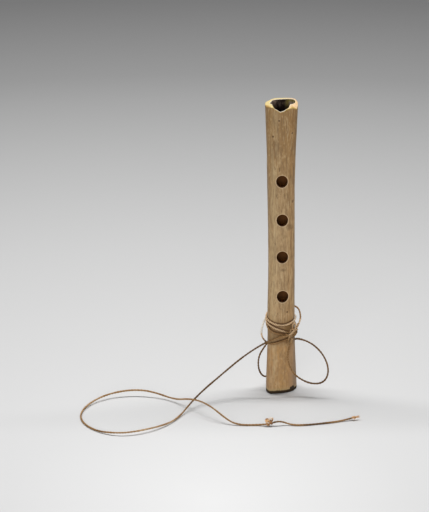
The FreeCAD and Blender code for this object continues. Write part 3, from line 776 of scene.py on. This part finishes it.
def lattice(turn, height, run, values):
    """Smooth chance values over the bone's skin: the values stand on a net whose
    rows are a run apart, and are read between them by cosines."""
    columns = values.shape[1]
    across = np.mod(turn, 1.0) * columns
    up = height / run + 2
    column, row = across.astype(int), up.astype(int)
    right = (1 - np.cos(np.pi * (across - column))) / 2
    high = (1 - np.cos(np.pi * (up - row))) / 2
    column, beside = column % columns, (column + 1) % columns
    lower = values[row, column] * (1 - right) + values[row, beside] * right
    upper = values[row + 1, column] * (1 - right) + values[row + 1, beside] * right
    return lower * (1 - high) + upper * high


def bulges(turn, rows):
    """The sum of the rows' bulges: each a bell curve, full at its own turn."""
    total = 0.0
    for height, middle, reach in rows:
        aside = np.mod(turn - middle + 0.5, 1.0) - 0.5
        total = total + height * np.exp(-(aside / reach) ** 2)
    return total


def head_corner(turn, height):
    """How far the head's back corners stand off the plain section."""
    return np.clip((height - CORNERS_FROM) / CORNERS_RISE, 0, 1) ** 1.5 * bulges(turn, HEAD_CORNERS)


def skin_relief(turn, height):
    """How far the skin stands off its plain section: waves, the head's corners,
    the ridge up the foot's front left, streaks, pits, and the foot's chip."""
    ridge = bulges(turn, FOOT_RIDGE) * np.clip(1 - height / RIDGE_TOP, 0, 1)
    chip = bulges(turn, FOOT_CHIP) * np.exp(-((height - CHIP_HEIGHT) / CHIP_REACH) ** 2)
    return (WAVE_HEIGHT * lattice(turn, height, WAVE_RUN, waves) + head_corner(turn, height) + ridge
            + STREAK_HEIGHT * lattice(turn, height, STREAK_RUN, streaks)
            - PIT_DEPTH * np.maximum(0, lattice(turn, height, PIT_RUN, pits)) ** 2 - chip)


def outer_skin(turn, height, off=0.0):
    """The bone's outside: its section, with the relief."""
    return round_the_bone(turn, off + skin_relief(turn, height), height)


def inner_skin(turn, height):
    """The bore: the section a wall smaller, a little to the right at the head,
    with the head's uneven wall."""
    rise = np.clip((height - UNEVEN_FROM) / UNEVEN_RISE, 0, 1)
    off = (-WALL + head_corner(turn, height)
           - rise * bulges(turn, THICKER_WALL) + rise * bulges(turn, THINNER_WALL))
    return round_the_bone(turn, off, height, CAVITY_POWER, CAVITY_SHIFT * height / BONE_LENGTH)


def turn_at(right, height, off, power, shift):
    """The turn on the front at which a section is this far to the right: the
    inverse of the superellipse."""
    across, _, width, _, _ = bone_section(height)
    share = np.clip((right - across - shift) / (width / 2 + off), -0.999, 0.999)
    return np.arcsin(np.sign(share) * np.abs(share) ** (power / 2)) / (2 * np.pi)


def lip_height(right, turn, share):
    """How high the lip is at a share of the wall's thickness from outside, and
    how deep the notch is there: the saw cut, worn to a slope that falls outwards
    at both front corners, less the notch, whose left flank is hollow and whose
    edge is ragged, by the product of two waves, and thinned inside."""
    saw_cut = (BONE_LENGTH - bulges(turn, WORN_LIP) * (1 - share) ** 1.3
               - bulges(turn, LOW_SAW_CUT))
    aside = right - NOTCH_MIDDLE
    out = np.abs(aside) / NOTCH_HALF
    flank = np.where(aside < 0, out ** NOTCH_HOLLOW, out) * NOTCH_DEPTH
    ragged = np.sin(aside * RAGGED_WAVES[0]) * np.sin(aside * RAGGED_WAVES[1] + 1.0)
    notch = (np.sqrt(flank ** 2 + NOTCH_ROUND ** 2) - NOTCH_ROUND
             + BONE_LENGTH - NOTCH_DEPTH + NOTCH_RAGGED * ragged)
    in_front = np.abs(np.mod(turn + 0.5, 1) - 0.5) < NOTCH_TURN
    depth = np.maximum(saw_cut - notch, 0) * in_front
    thinned = NOTCH_THINNED * share ** 2 * np.clip(depth / 0.0007, 0, 1)
    return saw_cut - depth - thinned, depth


turns = np.arange(COLUMNS) / COLUMNS
levels = np.concatenate([
    np.arange(ROWS_FROM, WOUND_FROM, ROW_STEP), np.arange(WOUND_FROM, WOUND_TO, ROW_STEP / 2),
    np.arange(WOUND_TO, ROWS_TO, ROW_STEP)])
top = np.full(COLUMNS, BONE_LENGTH)
top_across = outer_skin(turns, top)[:, 0]
lip_outside, notch_outside = lip_height(top_across, turns, 0.0)
lip_inside, _ = lip_height(inner_skin(turns, top)[:, 0], turns, 1.0)


def rows_up_to(lip):
    """The heights of the grid's rows: the plain levels, and more up to where the
    lip's rounding begins, which come closer together by a power."""
    upper = 1 - (1 - np.linspace(0, 1, LIP_ROWS + 1)[1:, None]) ** 1.7
    return np.concatenate([np.repeat(levels[:, None], COLUMNS, axis=1),
                           levels[-1] + (lip - EDGE_ROUND - levels[-1]) * upper])


outside_levels = rows_up_to(lip_outside)
spread_turns = np.broadcast_to(turns, outside_levels.shape)
outside = outer_skin(spread_turns, outside_levels)
inside = inner_skin(spread_turns, rows_up_to(lip_inside))
foot_outside = [outer_skin(turns, np.full(COLUMNS, height), off) for off, height in FOOT_EDGE]
foot_inside = inner_skin(turns, np.zeros(COLUMNS))
foot_between = foot_outside[0] * 0.45 + foot_inside * 0.55
rim_outside, rim_inside = outer_skin(turns, lip_outside), inner_skin(turns, lip_inside)
rim = []
for share in RIM_SHARES.ravel():
    ring = rim_outside * (1 - share) + rim_inside * share
    short = max(0.0, 1 - min(share, 1 - share) * WALL / EDGE_ROUND)
    rounding = EDGE_ROUND * (1 - math.sqrt(1 - short ** 2))
    ring[:, 2] = lip_height(ring[:, 0], turns, share)[0] - rounding
    rim.append(ring)

# One grid goes from the bore's foot under the wall, up the outside, over the rim
# and down the bore.
skin = np.stack([foot_inside, foot_between, *foot_outside, *outside, *rim, *inside[::-1]])
rows = len(skin)
first_outside = 2 + len(foot_outside)
first_rim = first_outside + len(outside)
first_inside = first_rim + len(rim)
on_outside, on_rim = slice(first_outside, first_rim), slice(first_rim, first_inside)

# How far below the worn lip each place counts: less rubbed where a corner is lower.
UNWORN, INSIDE_FADES, RIM_RUBBED = 0.01, 3.0, 0.6
less_rubbed = bulges(turns, LESS_RUBBED)
below_lip = np.full((rows, COLUMNS), UNWORN)
below_lip[on_outside] = lip_outside - outside[:, :, 2] + less_rubbed
below_lip[on_rim] = less_rubbed * np.maximum(0.0, 1 - RIM_SHARES / RIM_RUBBED)
below_lip[first_inside:] = INSIDE_FADES * (lip_inside - inside[::-1, :, 2])

# The painted highlight along the lip: its whole inner edge, and its outer edge in the notch,
# less at the left. It reaches so far down the outside and from the wall's two edges.
LINE_DOWN, LINE_INNER, LINE_OUTER, LINE_AT_LEFT, LEFT_FROM = 0.00038, 0.16, 0.20, 0.72, 0.0006
lip_highlight_share = np.zeros((rows, COLUMNS))
in_notch = np.clip(notch_outside / 0.0005, 0, 1)
in_notch = in_notch * np.where(top_across < NOTCH_MIDDLE - LEFT_FROM, LINE_AT_LEFT, 1.0)
lip_highlight_share[on_outside] = in_notch * np.exp(-(below_lip[on_outside] / LINE_DOWN) ** 2)
lip_highlight_share[on_rim] = np.maximum(np.exp(-((1 - RIM_SHARES) / LINE_INNER) ** 2),
                            in_notch * np.exp(-(RIM_SHARES / LINE_OUTER) ** 2))
lip_highlight_share[first_inside] = 1

# Painted shade, with some dirt, on the bone beside the turns of cord: how close each place is.
CORD_SHADE_FROM, CORD_SHADE_TO, CORD_SHADE_REACH = 0.022, 0.048, 0.00122
cord_dirt = np.zeros((rows, COLUMNS))
pressed = np.concatenate([wound_line[::3], run_line[:120:3], *lashing_lines])
pressed = pressed[(pressed[:, 2] > CORD_SHADE_FROM) & (pressed[:, 2] < CORD_SHADE_TO)]
for row in range(first_inside):
    if CORD_SHADE_FROM < skin[row, 0, 2] < CORD_SHADE_TO:
        apart = np.linalg.norm(skin[row, :, None] - pressed, axis=-1).min(axis=1)
        cord_dirt[row] = np.exp(-(apart / CORD_SHADE_REACH) ** 2)

bone_surface = Surface()
index = bone_surface.add(
    skin, hole_edge=0.0, inside=(np.arange(rows) >= first_inside)[:, None],
    lip=np.exp(-below_lip / 0.0005), lip_line=lip_highlight_share, cord_dirt=cord_dirt)
kept = np.ones((rows, COLUMNS), bool)


def window_edge(low, high, left, right):
    """The vertices round a window of the grid, counterclockwise from outside."""
    return ([(low, column) for column in range(left, right)]
            + [(row, right) for row in range(low, high)]
            + [(high, column) for column in range(right, left, -1)]
            + [(row, left) for row in range(high, low, -1)])


def band(first, second):
    """Faces between two closed rings of vertices."""
    return np.stack([first, np.roll(first, -1), np.roll(second, -1), second], axis=-1).tolist()


def hole_ring(hole, bearing, grow, off=0.0, power=OUTSIDE_POWER, shift=0.0):
    """Turn and height, at these bearings, of an ellipse that much wider and
    higher than the hole."""
    up = hole[1] + (HOLE_HALF_HEIGHT + grow) * np.sin(bearing)
    aside = hole[0] + (HOLE_HALF_WIDTH + grow) * np.cos(bearing)
    return turn_at(aside, up, off, power, shift * up / BONE_LENGTH), up


# Each hole's window is cut out of both skins. Rings join its edge to the hole's
# rounded edge, go through the wall, and open out to the window inside.
for hole in FINGER_HOLES:
    hole_right, hole_height = hole
    front = np.r_[-COLUMNS // 4:COLUMNS // 4]
    beside = outer_skin(turns, np.full(COLUMNS, hole_height))[front, 0] - hole_right
    low, high = (np.argmin(np.abs(levels - (hole_height + way * WINDOW_HALF))) for way in (-1, 1))
    left, right = (front[np.argmin(np.abs(beside - way * WINDOW_HALF))] for way in (-1, 1))
    edge = np.array(window_edge(low, high, left, right))
    edge_turn, edge_height = edge[:, 1] / COLUMNS, levels[edge[:, 0]]
    outer_ring = index[edge[:, 0] + first_outside, edge[:, 1] % COLUMNS]
    inner_ring = index[rows - 1 - edge[:, 0], edge[:, 1] % COLUMNS]
    window = np.arange(left, right) % COLUMNS
    kept[low + first_outside:high + first_outside, window] = False
    kept[rows - 1 - high:rows - 1 - low, window] = False
    edge_right = skin.reshape(-1, 3)[outer_ring, 0]
    bearing = np.arctan2((edge_height - hole_height) / HOLE_HALF_HEIGHT,
                         (edge_right - hole_right) / HOLE_HALF_WIDTH)

    # Each ring has its places, how near the hole's edge it is, and if it is inside.
    made = []
    widest = HOLE_EDGE[0][0]
    round_turn, round_height = hole_ring(hole, bearing, widest)
    for share in (0.3, 0.6, 0.85):
        made.append((outer_skin(edge_turn * (1 - share) + round_turn * share,
                                edge_height * (1 - share) + round_height * share), 0.0, 0.0))
    for grow, sink in HOLE_EDGE:
        ring = outer_skin(*hole_ring(hole, bearing, grow))
        ring[:, 1] += sink
        made.append((ring, 1 - grow / widest, float(sink > 0.0003)))
    bore_turn, bore_height = hole_ring(hole, bearing, 0.0, -WALL, CAVITY_POWER, CAVITY_SHIFT)
    bore_ring = inner_skin(bore_turn, bore_height)
    for share in (0.35, 0.7, 1.0):
        made.append((ring * (1 - share) + bore_ring * share, 0.0, 1.0))
    for share in (0.3, 0.65):
        made.append((inner_skin(bore_turn * (1 - share) + edge_turn * share,
                                bore_height * (1 - share) + edge_height * share), 0.0, 1.0))
    ring_before = outer_ring
    for ring, nearness, deep in made:
        number = bone_surface.add(
            ring, hole_edge=nearness, inside=deep, lip=0.0, lip_line=0.0, cord_dirt=0.0)
        bone_surface.faces.extend(band(ring_before, number))
        ring_before = number
    bone_surface.faces.extend(band(ring_before, inner_ring))

following = np.roll(index, -1, axis=1)
quads = np.stack([index, following, np.roll(following, -1, axis=0), np.roll(index, -1, axis=0)],
                 axis=-1)
bone_surface.faces = quads[kept].tolist() + bone_surface.faces

bone_finish = Finish("old_bone", Specular_IOR_Level=0.3)
spot = bone_finish.place()
right, deep, up = (bone_finish.node("ShaderNodeSeparateXYZ", {}, {0: spot}, output=axis)
                   for axis in range(3))


def bone_noise(squeeze, *settings):
    """Noise drawn out along the bone: its height is squeezed by this first."""
    return bone_finish.noise(bone_finish.stretched(spot, (1, 1, squeeze)), *settings)


def off_squared(place, middle, half):
    """How far a place is from a middle, as a share of half a width, squared."""
    off = (place - middle) / half
    return off * off


def most_of(masks):
    """The largest of several masks at each place."""
    largest, *others = masks
    for mask in others:
        largest = largest.most(mask)
    return largest


# Each noise has its squeeze, scale, detail and roughness, and the two grains a twist.
hair_grain = bone_noise(0.10, 1150.0, 4.0, 0.65, 0.2)
grain = bone_noise(0.14, 640.0, 4.0, 0.6, 0.2)
pores = bone_noise(0.22, 1250.0, 2.0, 0.6)
patches = bone_noise(0.35, 190.0, 4.0, 0.6)
mottle = bone_noise(0.5, 760.0, 3.0, 0.55)
golden = bone_noise(0.5, 330.0, 3.0, 0.6)
speckle = bone_noise(0.6, 1300.0, 2.0, 0.5)

# Dark marks on the front, as right, up, half width, half height and strength.
FRONT_MARKS = (
    (-0.0018, 0.1528, 0.00046, 0.00048, 1.0), (0.0050, 0.1458, 0.00038, 0.00050, 1.0),
    (-0.0048, 0.1439, 0.00038, 0.00050, 0.9), (0.0033, 0.0466, 0.00038, 0.00045, 1.0),
    (-0.0014, 0.1262, 0.00018, 0.00140, 0.8), (0.0056, 0.1080, 0.00050, 0.00080, 0.6),
    (0.0053, 0.1530, 0.00022, 0.00420, 0.5), (0.0040, 0.0940, 0.00160, 0.00170, 0.35),
    (0.0012, 0.0705, 0.00130, 0.00090, 0.35), (-0.0034, 0.1370, 0.00150, 0.00500, 0.25),
    (-0.0003, 0.0012, 0.00016, 0.00160, 1.0),
)
rugged = (pores - 0.5) * 3.0 + (speckle - 0.5) * 2.0
marks = most_of([
    (off_squared(right, mark_right, half_wide) + off_squared(up, mark_up, half_high) + rugged)
    .between(1.7, 0.3) * strength
    for mark_right, mark_up, half_wide, half_high, strength in FRONT_MARKS])

# The shaft's tone changes along it: olive brown at the head, lighter between the
# holes, with painted shade under the turns of cord, and warmer brown at the foot. The rows'
# colours are, in turn, the head's, the shaft's and the foot's, dark patches and
# mottles and pale ones, gold at the foot, a warm and a pale streak, dark grain, dark
# and pale hair lines, the foot's left and right, painted shade under the cord, pores,
# painted shade with some dirt beside the cord, painted shade on the sides, specks and marks.
calm = 0.55 + 0.45 * up.between(0.010, 0.050)
at_foot = up.between(0.034, 0.022)
at_head = up.between(0.115, 0.160)
warm = right.between(0.0018, 0.0050) * right.between(0.0074, 0.0058)
pale_streak = right.between(-0.0066, -0.0050) * right.between(-0.0012, -0.0034)
# Painted shade under the turns of cord, more at the right.
shade_under_cord = (up.between(0.0255, 0.0310) * up.between(0.0445, 0.0385)
              * (0.55 + 0.30 * right.between(-0.001, 0.005)))
# Painted shade, with some dirt, beside the turns of cord.
cord_dirt = bone_finish.attribute("cord_dirt").between(0.18, 0.70)
# Painted shade down the bone's left and right sides.
sides = (right + at_head * 0.0020).between(-0.0060, -0.0076).most(
    (right - at_head * 0.0012).between(0.0060, 0.0076))
base = bone_finish.layers((0.312, 0.177, 0.062), (
    (up.between(0.150, 0.090), (0.430, 0.282, 0.137)),
    (up.between(0.060, 0.020), (0.415, 0.238, 0.096)),
    (patches.between(0.42, 0.72) * 0.50, (0.30, 0.185, 0.085)),
    (mottle.between(0.52, 0.64) * 0.35, (0.24, 0.145, 0.062)),
    (mottle.between(0.47, 0.35) * 0.30, (0.60, 0.44, 0.24)),
    (patches.between(0.46, 0.25) * 0.45, (0.52, 0.37, 0.20)),
    (golden.between(0.50, 0.66) * up.between(0.034, 0.020) * 0.6, (0.50, 0.27, 0.085)),
    (warm * 0.40, (0.47, 0.26, 0.105)),
    (pale_streak * grain.between(0.35, 0.6) * 0.45, (0.56, 0.42, 0.23)),
    (grain.between(0.50, 0.64) * calm * 0.42, (0.215, 0.130, 0.058)),
    (hair_grain.between(0.51, 0.64) * calm * 0.50, (0.180, 0.105, 0.045)),
    (hair_grain.between(0.45, 0.34) * calm * 0.42, (0.62, 0.47, 0.27)),
    (at_foot * right.between(-0.0030, -0.0056) * 0.35, (0.300, 0.160, 0.075)),
    (at_foot * right.between(0.0036, 0.0056) * 0.40, (0.370, 0.235, 0.145)),
    (shade_under_cord, (0.180, 0.100, 0.034)),
    (pores.between(0.62, 0.72) * calm * 0.55, (0.120, 0.070, 0.030)),
    (cord_dirt * 0.86, (0.100, 0.041, 0.011)),
    (sides * 0.42, (0.190, 0.132, 0.085)),
    (speckle.between(0.70, 0.78) * 0.6, (0.10, 0.055, 0.025)),
    (marks * deep.between(0.0, -0.003), (0.088, 0.040, 0.015))))

# Finger holes have a thin paler ring, the lip is worn to cream over an ochre band
# and carries a painted highlight along its edges, and the foot is black with dirt under
# a thin worn line.
ringed = bone_finish.attribute("hole_edge").between(0.50, 0.88)
lip = bone_finish.attribute("lip") + (patches - 0.5) * 0.3
lip_line = bone_finish.attribute("lip_line")
lip_wear_and_highlight = lip.between(0.50, 0.85).most(lip_line.between(0.3, 0.7))
ochre = bone_finish.mix(right.between(0.0, 0.002), (0.42, 0.245, 0.060), (0.50, 0.34, 0.080))
cream = bone_finish.layers((0.640, 0.505, 0.225), (
    (right.between(0.001, 0.005), (0.670, 0.460, 0.245)),
    (patches.between(0.50, 0.66) * 0.5, (0.50, 0.35, 0.125)),
    # The last row is the painted highlight along the lip's edges.
    (lip_line.between(0.2, 0.8), (0.790, 0.690, 0.530))))
foot_height = up + (patches - 0.5) * 0.0010 + (speckle - 0.5) * 0.0008
worn_foot = foot_height.between(0.0036, 0.0025)
foot_dirt = foot_height.between(0.0022, 0.0015)
chip_dirt = off_squared(right, 0.0064, 0.0016) + off_squared(up, 0.0010, 0.0024) + (speckle - 0.5)
chip_dirt = chip_dirt.between(1.15, 0.75) * deep.between(0.0, -0.001)

# Inside, the bone is painted dark as shade. Near the lip its sides carry painted
# light, greyish and olive with a brighter patch at the right, and behind the finger
# holes a painted pool of brown light glows. The last rows are the holes' rings, the
# ochre band, the cream lip, the foot's worn line and its dirt, and the inside.
hollow = bone_finish.attribute("inside").between(0.05, 0.85)
hollow_lit = bone_finish.layers((0.300, 0.225, 0.180), (
    (right.between(-0.001, 0.003), (0.270, 0.215, 0.055)),
    (right.between(0.0028, 0.0042) * up.between(0.1594, 0.1575), (0.480, 0.370, 0.300))))
hollow_side = right.between(-0.0020, -0.0045).most(right.between(0.0008, 0.0036))
hollow_near = up.between(0.1535, 0.1588) * (
    0.06 + 0.75 * hollow_side + (mottle - 0.5) * 1.6 + (patches - 0.5))
# A painted pool of brown light on the back wall behind each finger hole.
lit_through = most_of([off_squared(up, hole_height - 0.0024, 0.0030).between(1.6, 0.3)
                       for _, hole_height in FINGER_HOLES])
hollow_deep = bone_finish.mix(lit_through, (0.45, 0.160, 0.026), (0.115, 0.042, 0.009))
hollow_light_and_shade = bone_finish.layers((0.013, 0.006, 0.003), (
    (hollow_near, hollow_lit), (up.between(0.146, 0.138), hollow_deep)))
base = bone_finish.layers(base, (
    (ringed * 0.85, (0.68, 0.50, 0.30)),
    (lip.between(0.08, 0.45) * 0.80, ochre),
    (lip_wear_and_highlight, cream),
    (worn_foot * 0.40, (0.420, 0.315, 0.150)),
    (foot_dirt.most(chip_dirt) * 0.97, (0.020, 0.011, 0.004)),
    (hollow, hollow_light_and_shade),
    (lip_wear_and_highlight * hollow, cream)))
bone_finish.feed(Base_Color=base, Roughness=0.55 + 0.40 * hollow.most(foot_dirt))
bone_finish.bump(hair_grain * 0.5 + grain + speckle * 0.5, 0.00010, 0.6)
bone = bone_surface.piece("bone_flute", bone_finish.material)
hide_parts("bone_tube")


# The floor is one pale sheet that sweeps away behind the flute. Its greys are painted
# light: brightest near the camera and greyer far off.

# Its painted light, as greys by the distance from the brightest place as a share of the reach.
FLOOR_REACH, BRIGHTEST_PLACE = 0.8, (-0.035, -0.13)
FLOOR_PAINTED_LIGHT = ((0.000, 0.716), (0.125, 0.616), (0.222, 0.567), (0.308, 0.528), (0.398, 0.487),
               (0.496, 0.433), (0.604, 0.370), (0.721, 0.297), (0.785, 0.250), (1.000, 0.161))
floor_finish = Finish("floor_paper", Roughness=0.9, Specular_IOR_Level=0.1)
from_brightest = floor_finish.stretched(
    floor_finish.place(), (1, 1, 0), (-BRIGHTEST_PLACE[0], -BRIGHTEST_PLACE[1], 0))
distance = floor_finish.node(
    "ShaderNodeVectorMath", {"operation": "LENGTH"}, {0: from_brightest}, output="Value")
floor_finish.feed(Base_Color=floor_finish.node(
    "ShaderNodeValToRGB", {"stops": [(place, (grey, grey, grey)) for place, grey in FLOOR_PAINTED_LIGHT]},
    {0: distance / FLOOR_REACH}))
bpy.ops.mesh.primitive_plane_add(size=8)
floor = bpy.context.object
floor.name = "floor"
floor.data.materials.append(floor_finish.material)


# Plain studio light: one long narrow lamp overhead and a little behind, a wide
# weak one low in front, and an even pale surround.

def lamp(name, place, aim, size, depth, power):
    """A soft oval lamp that points at aim, this wide and this deep."""
    made = bpy.data.objects.new(name, bpy.data.lights.new(name, "AREA"))
    made.data.shape = "ELLIPSE"
    made.data.size = size
    made.data.size_y = depth
    made.data.energy = power
    made.location = place
    toward = np.subtract(aim, place)
    made.rotation_euler = (math.acos(-toward[2] / np.linalg.norm(toward)), 0,
                           math.atan2(toward[1], toward[0]) - math.pi / 2)
    bpy.context.scene.collection.objects.link(made)


lamp("lamp_above", place=(-0.01, 0.35, 1.45), aim=(-0.01, 0, 0.03),
     size=2.9, depth=0.12, power=33.2)
lamp("lamp_front", place=(-0.25, -2.3, 0.55), aim=(0, 0, 0.08), size=1.8, depth=0.9, power=28.5)
surround = bpy.data.worlds.new("surround")
surround.use_nodes = True
background = surround.node_tree.nodes["Background"].inputs
background["Color"].default_value = (1, 1, 1, 1)
background["Strength"].default_value = 0.14
bpy.context.scene.world = surround
bpy.context.scene.view_settings.view_transform = "Standard"
